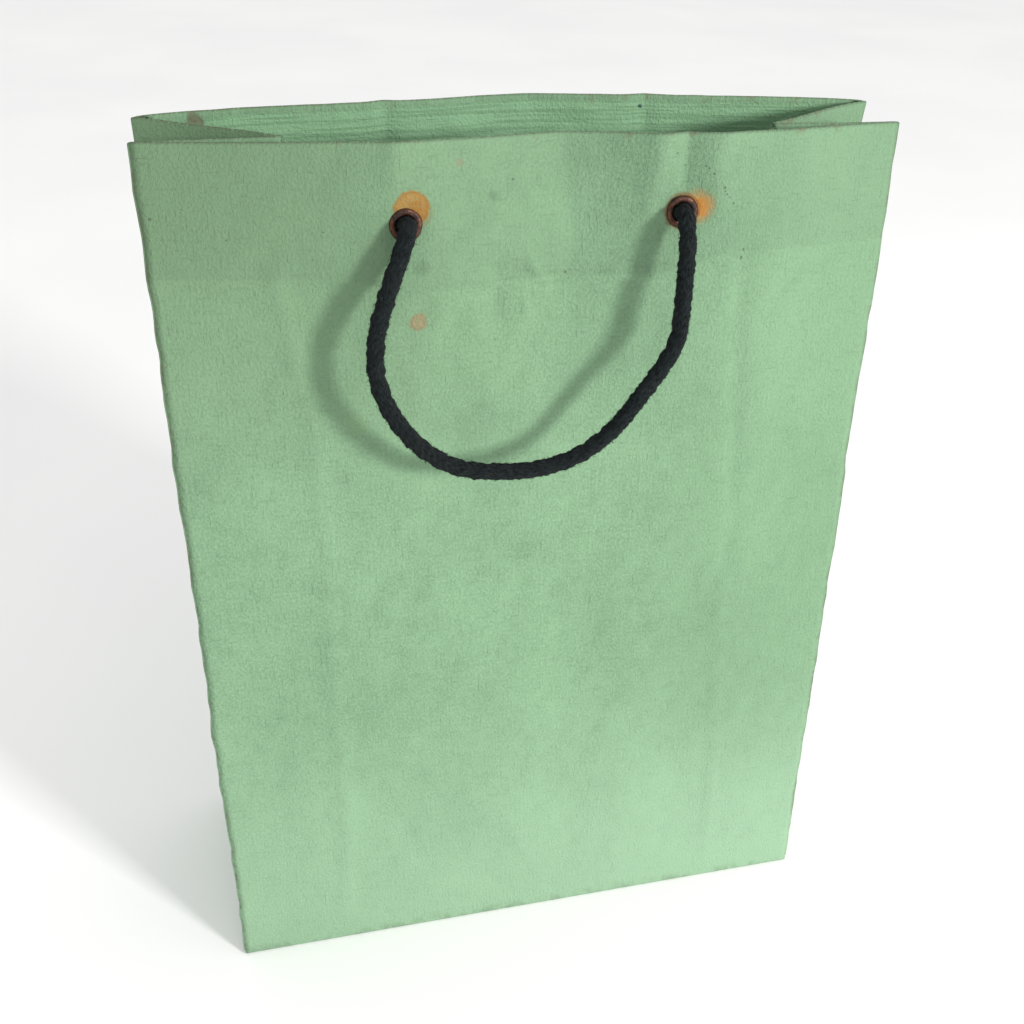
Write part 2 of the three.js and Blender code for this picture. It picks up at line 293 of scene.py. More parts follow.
def grid_normals(centre):
    """The normal at each point of a grid of rows by columns."""
    normal = np.cross(np.gradient(centre, axis=1), np.gradient(centre, axis=0))
    return normal / np.maximum(np.linalg.norm(normal, axis=-1, keepdims=True), 1e-9)


def paper_sheet(name, centre, uv, material, thickness=PAPER, hole=0.0, ragged=0.0, seed=1):
    """A closed sheet round a grid of centre points, with eyelet holes of radius hole."""
    rows, columns = centre.shape[:2]
    normal = grid_normals(centre)
    if ragged:  # a torn edge is never quite straight
        rng = np.random.default_rng(seed)
        for row in (0, -1):
            step = centre[row] - centre[1 if row == 0 else -2]
            step /= np.maximum(np.linalg.norm(step, axis=-1, keepdims=True), 1e-9)
            centre[row] += step * rng.uniform(-ragged, ragged, (columns, 1))
    half = thickness / 2 * normal
    points = np.concatenate([(centre + half).reshape(-1, 3), (centre - half).reshape(-1, 3)])
    middle = (uv[:-1, :-1] + uv[1:, 1:]) / 2
    keep = eyelet_distance(middle[..., 0], middle[..., 1]) >= hole
    index = np.arange(rows * columns).reshape(rows, columns)
    back = rows * columns
    faces = []
    border = {}  # edges met once so far, in a fixed order
    for i, j in zip(*np.nonzero(keep)):
        a, b, c, d = index[i, j], index[i, j + 1], index[i + 1, j + 1], index[i + 1, j]
        faces.append((a, b, c, d))
        faces.append((a + back, d + back, c + back, b + back))
        for p, q in ((a, b), (b, c), (c, d), (d, a)):
            if (q, p) in border:
                del border[(q, p)]
            else:
                border[(p, q)] = True
    faces += [(q, p, p + back, q + back) for p, q in border]
    flat_uv = uv.reshape(-1, 2)
    faces = [tuple(int(v) for v in face) for face in faces]
    return make_object(name, points, faces, material, np.concatenate([flat_uv, flat_uv]))


def line(low, high, step):
    """Evenly spaced values from low to high, about step apart."""
    return np.linspace(low, high, max(2, int(round(abs(high - low) / step)) + 1))


def finer(values, centres, reach, step):
    """values, with finer spacing within reach of each centre."""
    kept = [v for v in values if all(abs(v - c) > reach for c in centres)]
    added = [v for c in centres for v in np.arange(c - reach, c + reach + step / 2, step)]
    return np.array(sorted(kept + added))


def grid(points, coords):
    """Rows of points and their sheet coordinates as two arrays."""
    return np.array(points), np.array([np.stack(np.broadcast_arrays(x, s), -1) for x, s in coords])


def flipped(centre, uv):
    """The same grid with its columns the other way round, so that its faces turn over."""
    return centre[:, ::-1].copy(), uv[:, ::-1].copy()


# ---- node helpers ----
class Nodes:
    """Builds one material's node tree: each call adds a node and returns its output socket."""

    def __init__(self, name):
        self.material = bpy.data.materials.new(name)
        self.material.use_nodes = True
        self.tree = self.material.node_tree
        self.shader = self.tree.nodes["Principled BSDF"]

    def node(self, kind, **settings):
        made = self.tree.nodes.new(kind)
        for key, value in settings.items():
            setattr(made, key, value)
        return made

    def feed(self, socket, value):
        """Links a node's output to the socket, or sets a plain value on it."""
        if isinstance(value, bpy.types.NodeSocket):
            self.tree.links.new(value, socket)
        else:
            socket.default_value = value

    def fill(self, node, **values):
        """Feeds the inputs of those names, where _ stands for a space."""
        for key, value in values.items():
            self.feed(node.inputs[key.replace("_", " ")], value)

    def math(self, operation, a, b=0.0):
        made = self.node("ShaderNodeMath", operation=operation)
        for socket, value in zip(made.inputs, (a, b)):
            self.feed(socket, value)
        return made.outputs[0]

    def times(self, a, b):
        return self.math("MULTIPLY", a, b)

    def plus(self, a, b):
        return self.math("ADD", a, b)

    def ramp(self, value, low, high, to_low=0.0, to_high=1.0):
        """to_low at low, to_high at high, with a smooth step between."""
        made = self.node("ShaderNodeMapRange", interpolation_type="SMOOTHSTEP")
        self.fill(made, Value=value, From_Min=low, From_Max=high, To_Min=to_low, To_Max=to_high)
        return made.outputs[0]

    def mix(self, factor, a, b):
        """Colour a, turning to b; a mix node's colour sockets are 6 and 7 in and 2 out."""
        made = self.node("ShaderNodeMix", data_type="RGBA")
        self.feed(made.inputs[0], factor)
        for socket, colour in ((made.inputs[6], a), (made.inputs[7], b)):
            self.feed(socket, colour if isinstance(colour, bpy.types.NodeSocket) else (*colour, 1.0))
        return made.outputs[2]

    def coordinates(self, uv=True):
        made = self.node("ShaderNodeTexCoord")
        return made.outputs["UV" if uv else "Object"]

    def stretched(self, vector, scale, turn=0.0):
        """The coordinates scaled, so that a texture's features are that many to the metre."""
        made = self.node("ShaderNodeMapping")
        self.fill(made, Vector=vector, Scale=scale, Rotation=(0, 0, turn))
        return made.outputs[0]

    def noise(self, vector, scale, turn=0.0, detail=2.0, roughness=0.5, distortion=0.0):
        at = self.stretched(vector, scale, turn)
        made = self.node("ShaderNodeTexNoise")
        self.fill(made, Vector=at, Scale=1.0, Detail=detail, Roughness=roughness, Distortion=distortion)
        return made.outputs[0]

    def cells(self, vector, scale):
        at = self.stretched(vector, scale)
        made = self.node("ShaderNodeTexVoronoi")
        self.fill(made, Vector=at, Scale=1.0)
        return made.outputs["Distance"]

    def bump(self, height, strength, distance):
        made = self.node("ShaderNodeBump")
        self.fill(made, Strength=strength, Distance=distance, Height=height)
        self.fill(self.shader, Normal=made.outputs[0])

    def finish(self, colour, roughness, metallic=0.0, sheen=0.0, specular=0.5):
        self.fill(self.shader, Base_Color=colour, Roughness=roughness, Metallic=metallic,
                  Sheen_Weight=sheen, Specular_IOR_Level=specular)
        return self.material


# ---- materials ----
# Paper, where FRESH_AND_LIT is its inside, that no light has faded, and lighter still with painted light
# as if shone through it;
# DUSTY_SHADE is dust with painted shade, and FADED_AND_LIT is faded paper that also serves as painted
# light.
PALE, DEEP, SHADE = (0.200, 0.337, 0.203), (0.161, 0.277, 0.163), (0.084, 0.162, 0.086)
FADED_AND_LIT, FRESH_AND_LIT, DUSTY_SHADE = (0.280, 0.438, 0.290), (0.215, 0.390, 0.225), (0.128, 0.206, 0.112)
FIBRE, FLECK, SPECK = (0.09, 0.15, 0.09), (0.07, 0.08, 0.05), (0.07, 0.075, 0.055)
SOIL, GRIME = (0.050, 0.042, 0.026), (0.13, 0.10, 0.055)
RUBBED, SCUFFED = (0.10, 0.12, 0.07), (0.10, 0.13, 0.08)
# Card.
BOARD_DARK, BOARD_LIGHT = (0.27, 0.24, 0.19), (0.40, 0.36, 0.29)
BOARD_BROWN, BOARD_FLECK = (0.30, 0.25, 0.17), (0.12, 0.11, 0.10)
# Rope.
COTTON, COTTON_RIDGE = (0.0045, 0.0060, 0.0068), (0.0200, 0.0270, 0.0290)
FLUFF, ROPE_DUST, LINT = (0.040, 0.048, 0.050), (0.030, 0.036, 0.030), (0.10, 0.065, 0.035)
# Eyelets.
TARNISH, COPPER_BROWN = (0.018, 0.011, 0.010), (0.125, 0.056, 0.036)
PIT, BARE_COPPER = (0.05, 0.022, 0.014), (0.36, 0.17, 0.095)


def distance_to(n, across, height, x, s, stir, ripple):
    """Millimetres from a point on the sheet; the ripple stirs this by up to half of stir."""
    dx = n.math("SUBTRACT", across, x * MM)
    dy = n.math("SUBTRACT", height, s * MM)
    metres = n.math("SQRT", n.plus(n.times(dx, dx), n.times(dy, dy)))
    return n.plus(n.times(metres, 1 / MM), n.times(n.math("SUBTRACT", ripple, 0.5), stir))


def paper_material(name, stains=(), specks=()):
    """Handmade mint-green paper: fine ribs both ways, cloudy fibre, dust, wear and stains, with broad
    patches of painted shade and painted light.

    stains are (x, s, radius, edge, strength, colour) and specks (x, s, radius), in millimetres on
    the sheet, x across and s up the wall; the sheet goes on over the mouth, so s above 320 is hem.
    """
    n = Nodes(name)
    uv = n.coordinates()
    split = n.node("ShaderNodeSeparateXYZ")
    n.feed(split.inputs[0], uv)
    across, height = split.outputs[0], split.outputs[1]

    cloud = n.noise(uv, (16, 13, 1), detail=3, roughness=0.6, distortion=0.4)
    pulp = n.noise(uv, (130, 110, 1), detail=5, roughness=0.7)
    tooth = n.noise(uv, (1050, 960, 1), detail=2, roughness=0.6)
    ribs_up = n.noise(uv, (1000, 90, 1), detail=2, roughness=0.6)
    ribs_across = n.noise(uv, (80, 950, 1), detail=2, roughness=0.6)
    fibre_a = n.noise(uv, (1500, 130, 1), turn=0.7, detail=1)
    fibre_b = n.noise(uv, (130, 1500, 1), turn=0.5, detail=1)
    fibres = n.math("MAXIMUM", n.ramp(fibre_a, 0.64, 0.74), n.ramp(fibre_b, 0.64, 0.74))

    colour = n.mix(n.ramp(cloud, 0.30, 0.70), DEEP, PALE)
    colour = n.mix(n.ramp(pulp, 0.40, 0.66, 0.0, 0.35), colour, PALE)
    colour = n.mix(n.ramp(pulp, 0.50, 0.34, 0.0, 0.12), colour, SHADE)
    ribs = n.plus(n.times(ribs_up, 0.5), n.times(ribs_across, 0.5))
    grain = n.plus(n.times(ribs, 0.28), n.times(tooth, 0.72))
    colour = n.mix(n.ramp(grain, 0.50, 0.38, 0.0, 0.20), colour, SHADE)
    colour = n.mix(n.ramp(grain, 0.50, 0.62, 0.0, 0.26), colour, FADED_AND_LIT)
    colour = n.mix(n.times(fibres, 0.14), colour, FIBRE)

    # Darker towards the mouth and the left, partly dust and partly painted shade; paler at the foot on
    # the right, partly fading and partly a painted pool of light; duller on the right.
    outside = n.ramp(height, 0.3200, 0.3212, 1.0, 0.0)
    left = n.ramp(across, 0.06, -0.13, 0.12, 0.72)
    # dust and painted shade over the upper left of the outside
    dust_and_shade = n.times(n.ramp(height, 0.16, 0.32), outside)
    colour = n.mix(n.times(dust_and_shade, left), colour, DUSTY_SHADE)
    # painted light, with some fading, paler at the foot and towards the right
    faded_and_lit = n.times(n.ramp(height, 0.0, 0.14, 0.82, 0.0), n.ramp(across, -0.12, 0.10, 0.58, 1.0))
    colour = n.mix(faded_and_lit, colour, FADED_AND_LIT)
    dull = n.times(n.ramp(height, 0.04, 0.13), n.ramp(across, 0.02, 0.09, 0.0, 0.42))
    colour = n.mix(n.times(dull, outside), colour, DEEP)

    # Over the mouth's fold the hem is lighter: fresher paper, and painted light as if shone through the
    # paper; with laid lines along it.
    hem = n.ramp(height, 0.3212, 0.3225)
    lines = n.noise(uv, (22, 900, 1), detail=1)
    # fresher paper and painted light on the hem
    colour = n.mix(n.times(hem, 0.75), colour, FRESH_AND_LIT)
    colour = n.mix(n.times(hem, n.ramp(lines, 0.54, 0.40, 0.0, 0.34)), colour, SHADE)

    # The stiffened band under the mouth, with its lower edge as in hem_edge.
    stirred = n.times(n.math("SUBTRACT", pulp, 0.5), 0.0022)
    lift = n.plus(n.ramp(across, -0.030, -0.070, 0.0, 0.0045), n.ramp(across, 0.040, 0.064, 0.0, 0.0065))
    edge = n.math("SUBTRACT", n.plus(height, stirred), lift)
    band = n.ramp(edge, (HEIGHT - HEM - 0.6) * MM, (HEIGHT - HEM + 0.9) * MM)
    band = n.times(band, n.ramp(height, 0.3195, 0.3205, 1.0, 0.0))
    colour = n.mix(n.times(band, 0.17), colour, FIBRE)

    # Worn and dirty at the mouth's fold, along the side folds and at the foot.
    mouth = n.math("ABSOLUTE", n.math("SUBTRACT", height, 0.3203))
    worn = n.times(n.ramp(mouth, 0.0001, 0.0010, 1.0, 0.0), n.ramp(tooth, 0.35, 0.58, 0.15, 1.0))
    colour = n.mix(n.times(worn, 0.62), colour, SOIL)
    soiled = n.times(n.ramp(mouth, 0.0, 0.004, 1.0, 0.0), n.ramp(pulp, 0.56, 0.66))
    colour = n.mix(n.times(soiled, 0.45), colour, GRIME)
    side = n.math("SUBTRACT", 0.1205, n.math("ABSOLUTE", across))
    rubbed = n.times(n.ramp(side, 0.0, 0.0024, 1.0, 0.0), n.ramp(pulp, 0.40, 0.62))
    colour = n.mix(n.times(rubbed, 0.65), colour, RUBBED)
    foot = n.times(n.ramp(height, 0.0, 0.006, 1.0, 0.0), n.ramp(pulp, 0.45, 0.6))
    colour = n.mix(n.times(foot, 0.4), colour, SCUFFED)

    # Scattered flecks in the pulp.
    dot = n.ramp(n.cells(uv, (110, 110, 1)), 0.015, 0.045, 1.0, 0.0)
    rare = n.ramp(n.noise(uv, (40, 40, 1), detail=0), 0.54, 0.60)
    colour = n.mix(n.times(n.times(dot, rare), 0.6), colour, FLECK)

    ripple = n.noise(uv, (420, 420, 1), detail=2, roughness=0.7)
    for x, s, radius, edge, strength, tint in stains:
        distance = distance_to(n, across, height, x, s, 1.8, ripple)
        spot = n.ramp(distance, radius - edge, radius + edge * 0.3, 1.0, 0.0)
        ring = n.times(n.ramp(distance, radius - 1.8, radius - 0.1), spot)
        spot = n.times(spot, n.ramp(grain, 0.36, 0.64, 0.72, 1.0))
        colour = n.mix(n.times(spot, strength), colour, tint)
        colour = n.mix(n.times(ring, 0.55 * strength), colour, tuple(0.55 * c for c in tint))
    for x, s, radius in specks:
        distance = distance_to(n, across, height, x, s, 0.9, ripple)
        spot = n.ramp(distance, radius * 0.5, radius, 1.0, 0.0)
        colour = n.mix(n.times(spot, 0.7), colour, SPECK)

    relief = n.plus(n.plus(n.times(grain, 0.75), n.times(pulp, 0.5)), n.times(fibres, 0.1))
    n.bump(relief, 1.0, 0.00085)
    return n.finish(colour, n.ramp(tooth, 0.3, 0.7, 0.84, 0.97), sheen=0.05, specular=0.2)


def card_material():
    n = Nodes("grey_board")
    at = n.coordinates(uv=False)
    pulp = n.noise(at, (300, 300, 300), detail=4, roughness=0.65)
    flecks = n.ramp(n.cells(at, (420, 420, 420)), 0.08, 0.2, 1.0, 0.0)
    cloud = n.noise(at, (35, 35, 35), detail=2)
    colour = n.mix(n.ramp(pulp, 0.35, 0.65), BOARD_DARK, BOARD_LIGHT)
    colour = n.mix(n.ramp(cloud, 0.35, 0.7, 0.0, 0.3), colour, BOARD_BROWN)
    colour = n.mix(n.times(flecks, 0.3), colour, BOARD_FLECK)
    n.bump(pulp, 0.35, 0.0003)
    return n.finish(colour, n.ramp(pulp, 0.3, 0.7, 0.8, 0.95), specular=0.3)


def rope_material():
    n = Nodes("black_cotton")
    uv = n.coordinates()
    at = n.coordinates(uv=False)
    yarn = n.noise(uv, (2600, 500, 1), turn=0.5, detail=3, roughness=0.7)
    fluff = n.noise(at, (1700, 1700, 1700), detail=3, roughness=0.75)
    dust = n.noise(at, (160, 160, 160), detail=3, roughness=0.6)
    lint = n.ramp(n.cells(at, (520, 520, 520)), 0.05, 0.13, 1.0, 0.0)
    lint = n.times(lint, n.ramp(dust, 0.5, 0.62))
    colour = n.mix(n.ramp(yarn, 0.35, 0.7), COTTON, COTTON_RIDGE)
    colour = n.mix(n.ramp(fluff, 0.55, 0.8, 0.0, 0.5), colour, FLUFF)
    colour = n.mix(n.ramp(dust, 0.52, 0.75, 0.0, 0.3), colour, ROPE_DUST)
    colour = n.mix(n.times(lint, 0.45), colour, LINT)
    n.bump(n.plus(yarn, fluff), 0.9, 0.0006)
    return n.finish(colour, n.ramp(fluff, 0.3, 0.7, 0.9, 1.0), sheen=0.03, specular=0.06)


def copper_material():
    n = Nodes("tarnished_copper")
    at = n.coordinates(uv=False)
    patch = n.noise(at, (420, 420, 420), detail=4, roughness=0.7, distortion=0.6)
    pits = n.noise(at, (1900, 1900, 1900), detail=3, roughness=0.7)
    scratch = n.noise(at, (3000, 300, 900), detail=1)
    colour = n.mix(n.ramp(patch, 0.36, 0.62), TARNISH, COPPER_BROWN)
    colour = n.mix(n.ramp(pits, 0.5, 0.7, 0.0, 0.7), colour, PIT)
    colour = n.mix(n.ramp(scratch, 0.6, 0.75, 0.0, 0.3), colour, BARE_COPPER)
    roughness = n.ramp(patch, 0.35, 0.65, 0.72, 0.32)
    n.bump(n.plus(pits, n.times(patch, 0.6)), 0.5, 0.00025)
    return n.finish(colour, roughness, metallic=n.ramp(patch, 0.35, 0.6, 0.45, 0.95))


def floor_material():
    n = Nodes("studio_floor")
    at = n.coordinates(uv=False)
    soft = n.noise(at, (3, 3, 3), detail=2)
    colour = n.mix(n.ramp(soft, 0.3, 0.7), (0.90, 0.90, 0.90), (0.935, 0.935, 0.93))
    return n.finish(colour, 0.9, specular=0.2)


FRONT_STAINS = [
    (-42.2, 300.9, 5.6, 0.7, 0.95, (0.310, 0.160, 0.034)),
    (-39.8, 299.4, 4.2, 2.6, 0.50, (0.260, 0.105, 0.018)),
    (49.2, 297.4, 5.4, 3.6, 0.95, (0.380, 0.145, 0.018)),
    (44.0, 296.0, 6.0, 1.0, 0.65, (0.200, 0.075, 0.016)),
    (-40.9, 265.5, 3.1, 0.9, 0.55, (0.300, 0.160, 0.080)),
    (-61.9, 231.9, 4.2, 1.0, 0.14, (0.230, 0.330, 0.130)),
    (-27.3, 313.4, 1.4, 1.0, 0.25, (0.300, 0.160, 0.120)),
    (-39.6, 282.8, 2.6, 2.2, 0.25, (0.050, 0.080, 0.050)),
    (-16.9, 303.1, 1.6, 1.2, 0.25, (0.050, 0.080, 0.045)),
]
FRONT_SPECKS = [
    (49.7, 310.2, 0.5), (50.7, 309.6, 0.4), (52.5, 307.9, 0.45), (56.7, 303.3, 0.65),
    (57.0, 302.2, 0.4), (57.7, 301.2, 0.4), (58.8, 300.1, 0.35), (60.5, 298.2, 0.55),
    (66.1, 283.1, 0.55), (66.0, 280.1, 0.75), (-10.4, 307.4, 0.5), (8.2, 277.2, 0.5),
    (-15.3, 256.5, 0.35), (40.1, 314.1, 0.4), (-117.1, 298.8, 0.6), (-96.1, 292.8, 0.4),
    (-68.2, 294.6, 0.45),
]
REAR_STAINS = [
    (-102.4, 323.3, 2.9, 1.2, 0.75, (0.130, 0.085, 0.055)),
    (42.8, 323.6, 0.8, 0.4, 0.80, (0.020, 0.035, 0.060)),
]

PAPER_FRONT = paper_material("mint_paper_front", FRONT_STAINS, FRONT_SPECKS)
PAPER_REAR = paper_material("mint_paper_rear", REAR_STAINS)
PAPER_SIDE = paper_material("mint_paper_side")
CARD_MATERIAL = card_material()
ROPE_MATERIAL = rope_material()
COPPER = copper_material()


# ---- camera and light ----
def add_camera():
    """Looking down on the bag from in front, a little from its left."""
    yaw, pitch, roll = math.radians(14.25), math.radians(33.58), math.radians(2.30)
    ahead = Vector((math.sin(yaw) * math.cos(pitch), math.cos(yaw) * math.cos(pitch), -math.sin(pitch)))
    level = Vector((math.cos(yaw), -math.sin(yaw), 0))
    above = level.cross(ahead)
    right = math.cos(roll) * level + math.sin(roll) * above
    top = -math.sin(roll) * level + math.cos(roll) * above
    data = bpy.data.cameras.new("camera")
    data.sensor_width, data.lens = 36.0, 38.57
    data.clip_start, data.clip_end = 0.01, 20
    camera = bpy.data.objects.new("camera", data)
    turn = Matrix((right, top, -ahead)).transposed()
    camera.matrix_world = Matrix.Translation((-0.0883, -0.3353, 0.4053)) @ turn.to_4x4()
    bpy.context.scene.collection.objects.link(camera)
    bpy.context.scene.camera = camera


def add_window():
    """A soft light from the right front, low enough for the rope's shadow to fall to the left."""
    data = bpy.data.lights.new("window", "AREA")
    data.shape = "RECTANGLE"
    data.size, data.size_y = 0.27, 0.27
    data.energy = 32.0
    data.color = (1.0, 0.985, 0.96)
    lamp = bpy.data.objects.new("window", data)
    position, target = Vector((1.14, -1.35, 0.70)), Vector((0.0, -0.03, 0.20))
    lamp.rotation_euler = (target - position).to_track_quat("-Z", "Y").to_euler()
    lamp.location = position
    bpy.context.scene.collection.objects.link(lamp)


def add_studio():
    """A pale floor, an even white surround and the window."""
    mesh = bpy.data.meshes.new("floor")
    mesh.from_pydata([(-6, -6, 0), (6, -6, 0), (6, 6, 0), (-6, 6, 0)], [], [(0, 1, 2, 3)])
    mesh.materials.append(floor_material())
    floor = bpy.data.objects.new("floor", mesh)
    bpy.context.scene.collection.objects.link(floor)
    world = bpy.data.worlds.new("studio")
    bpy.context.scene.world = world
    world.use_nodes = True
    background = world.node_tree.nodes["Background"]
    background.inputs["Color"].default_value = (1.0, 1.0, 1.0, 1.0)
    background.inputs["Strength"].default_value = 0.92
    add_window()
    bpy.context.scene.view_settings.view_transform = "Standard"


# ---- ropes ----
def through(points, per_span=24):
    """A smooth curve through points: centripetal Catmull-Rom."""
    p = np.array(points, float)
    p = np.concatenate([[2 * p[0] - p[1]], p, [2 * p[-1] - p[-2]]])
    made = []
    for i in range(1, len(p) - 2):
        knots = [0.0]
        for a, b in zip(p[i - 1:i + 2], p[i:i + 3]):
            knots.append(knots[-1] + max(np.linalg.norm(b - a), 1e-9) ** 0.5)
        t = np.linspace(knots[1], knots[2], per_span, endpoint=False)[:, None]

        def between(a, b, j, k):
            low, high = knots[j], knots[k]
            return (high - t) / (high - low) * a + (t - low) / (high - low) * b

        a1, a2, a3 = (between(p[i - 1 + k], p[i + k], k, k + 1) for k in range(3))
        made.append(between(between(a1, a2, 0, 2), between(a2, a3, 1, 3), 1, 2))
    return np.concatenate(made + [p[-2:-1]])


def length_along(points):
    """Distance along a line at each of its points."""
    return np.concatenate([[0], np.cumsum(np.linalg.norm(np.diff(points, axis=0), axis=1))])


def even(points, step):
    """The same line with its points step apart."""
    length = length_along(points)
    at = np.linspace(0, length[-1], int(round(length[-1] / step)) + 1)
    return np.stack([np.interp(at, length, points[:, k]) for k in range(3)], -1)


def frames_along(points):
    """Two directions across the line at each point, turned along it without twist."""
    tangent = np.gradient(points, axis=0)
    tangent /= np.linalg.norm(tangent, axis=1, keepdims=True)
    first = np.cross(tangent[0], [0.3, 0.2, 1.0])
    across = [first / np.linalg.norm(first)]
    for t in tangent[1:]:
        v = across[-1] - (across[-1] @ t) * t
        across.append(v / np.linalg.norm(v))
    across = np.array(across)
    return tangent, across, np.cross(tangent, across)


def braided_tube(points, radius, around=40, seed=2):
    """Points and faces of a rope: two families of strands cross over and under each other."""
    _, across, other = frames_along(points)
    a = np.linspace(0, 2 * math.pi, around, endpoint=False)[None, :]
    l = length_along(points)[:, None]
    turned, risen = a * STRANDS / (2 * math.pi), l * STRANDS / BRAID_PITCH
    right, left = turned + risen, turned - risen
    right_on_top = np.cos(math.pi * (right + left)) * np.cos(math.pi * (right - left)) > 0
    strand = np.abs(np.cos(math.pi * np.where(right_on_top, right, left)))
    lumps = waves(seed, 22, 1.6, 7.0)(a * radius, l)
    reach = radius * (0.88 + 0.13 * strand + 0.11 * lumps)
    ring = np.cos(a)[..., None] * across[:, None] + np.sin(a)[..., None] * other[:, None]
    surface = points[:, None] + reach[..., None] * ring
    rows = len(points)
    index = np.arange(rows * around).reshape(rows, around)
    beside = np.roll(index, -1, axis=1)
    faces = np.stack([index[:-1], beside[:-1], beside[1:], index[1:]], -1).reshape(-1, 4).tolist()
    faces.append(index[0][::-1].tolist())
    faces.append(index[-1].tolist())
    uv = np.stack([np.broadcast_to(a * radius, reach.shape), np.broadcast_to(l, reach.shape)], -1)
    return surface.reshape(-1, 3), faces, uv.reshape(-1, 2)


def fuzz(points, radius, count, seed):
    """Loose cotton fibres: thin slivers standing off a rope's surface."""
    rng = np.random.default_rng(seed)
    tangent, across, other = frames_along(points)
    verts, faces = [], []
    for _ in range(count):
        i = rng.integers(2, len(points) - 2)
        a = rng.uniform(0, 2 * math.pi)
        outward = math.cos(a) * across[i] + math.sin(a) * other[i]
        sideways = np.cross(tangent[i], outward)
        lay = tangent[i] * rng.normal(0, 1) + sideways * rng.normal(0, 1)
        lay /= np.linalg.norm(lay)
        root = points[i] + outward * radius * 0.96
        reach = rng.uniform(0.5, 1.7)
        middle = root + lay * reach * 0.5 + outward * reach * rng.uniform(0.15, 0.4)
        tip = root + lay * reach + outward * reach * rng.uniform(0.0, 0.7)
        wide = 0.07 * np.cross(lay, outward)
        k = len(verts)
        verts += [root - wide, root + wide, middle + wide, middle - wide, tip]
        faces += [(k, k + 1, k + 2, k + 3), (k + 3, k + 2, k + 4)]
    return verts, faces


def join_parts(parts):
    """One list of points, faces and coordinates from several."""
    verts, faces, coords = [], [], []
    for points, polygons, uv in parts:
        start = len(verts)
        verts += [tuple(p) for p in points]
        faces += [tuple(int(v) + start for v in f) for f in polygons]
        coords += [tuple(c) for c in (uv if uv is not None else np.zeros((len(points), 2)))]
    return np.array(verts), faces, np.array(coords)


def rope_route(side):
    """From knot to knot: through an eyelet, round the loop and back through the other."""
    seats = {hand: seat(side, hand) for hand in HANDS}
    pivots = {hand: point + PIVOT_OUT * normal for hand, (point, normal) in seats.items()}
    middle = (pivots[-1] + pivots[1]) / 2
    loop = [middle + np.array([-side * x, side * y, -z]) / MM for x, y, z in LOOP]
    first, last = side, -side

    def inside(hand):
        point, normal = seats[hand]
        return [point - 7.5 * normal, point - 3.5 * normal, point + 0.5 * normal]

    route = inside(first) + [pivots[first]] + loop + [pivots[last]] + inside(last)[::-1]
    return even(through(route), 0.45)


def overhand_knot(point, normal, seed):
    """A tight overhand knot on a rope's end, with its short frayed tail."""
    t = np.linspace(0, 2 * math.pi, 220)
    trefoil = np.stack([np.sin(t) + 2 * np.sin(2 * t), np.cos(t) - 2 * np.cos(2 * t),
                        -np.sin(3 * t)], -1)
    level = np.cross(normal, [0, 0, 1.0])
    level /= np.linalg.norm(level)
    lift = np.cross(level, normal)
    turn = 0.4 + 0.7 * seed
    x_dir = math.cos(turn) * level + math.sin(turn) * lift
    y_dir = -math.sin(turn) * level + math.cos(turn) * lift
    centre = point - KNOT_INSIDE * normal
    flat = trefoil[:, :1] * x_dir + trefoil[:, 1:2] * y_dir
    loops = centre + 1.75 * flat + 2.0 * trefoil[:, 2:] * normal
    tail = through([centre, centre - 3 * normal + 2 * y_dir,
                    centre - 6.5 * normal - 2.5 * lift + 4 * y_dir,
                    centre - 8.5 * normal - 7 * lift + 5 * y_dir])
    parts = [braided_tube(even(loops, 0.5), 2.45, 28, seed=seed + 20),
             braided_tube(even(tail, 0.5), 2.4, 28, seed=seed + 30)]
    rng = np.random.default_rng(40 + seed)
    end, direction = tail[-1], tail[-1] - tail[-8]
    direction /= np.linalg.norm(direction)
    tufts, polygons = [], []
    for _ in range(70):  # the frayed end
        spread = rng.normal(0, 0.55, 3)
        root = end + spread * 1.6
        tip = root + (direction + 0.45 * spread) * rng.uniform(1.5, 3.5)
        wide = 0.09 * np.cross(direction, spread / np.linalg.norm(spread))
        k = len(tufts)
        tufts += [root - wide, root + wide, tip]
        polygons.append((k, k + 1, k + 2))
    parts.append((tufts, polygons, None))
    return join_parts(parts)


def add_ropes():
    """Each handle as one rope from knot to knot, bending where it leaves its eyelets."""
    for side, name in SIDES.items():
        for hand, which in HANDS.items():
            point, normal = seat(side, hand)
            verts, faces, uv = overhand_knot(point, normal, seed=(side + 1) + (hand + 1) // 2)
            knot = make_object(f"{name}_{which}_rope_knot", verts, faces, ROPE_MATERIAL, uv)
            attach(knot, f"{name}_wall")
            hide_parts(f"{name}_{which}_knot")
        route = rope_route(side)
        body = braided_tube(route, ROPE / 2, seed=11 + side)
        hairs = fuzz(route, ROPE / 2, HAIRS, 50 + side)
        verts, faces, uv = join_parts([body, (*hairs, None)])
        rope = make_object(f"{name}_rope", verts, faces, ROPE_MATERIAL, uv)
        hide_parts(f"{name}_handle_cord", f"{name}_left_cord_end", f"{name}_right_cord_end")
        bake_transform(rope)


# ---- eyelets ----
# One-piece eyelet, (radius, height out of the wall): a rolled flange outside, a barrel, and a
# split, rolled rim inside.
EYELET_PROFILE = [
    (3.05, 0.9), (3.12, 1.12), (3.32, 1.3), (3.62, 1.4), (4.05, 1.42), (4.5, 1.33), (4.85, 1.12),
    (5.05, 0.86), (5.12, 0.6), (5.0, 0.52), (4.6, 0.56), (3.56, 0.6), (3.5, 0.3),
    (3.5, -1.0), (3.6, -1.22), (4.3, -1.2), (4.72, -1.3), (4.85, -1.5), (4.6, -1.78),
    (4.1, -1.92), (3.5, -1.86), (3.15, -1.6), (3.05, -1.3),
]
EYELET_AROUND = 72


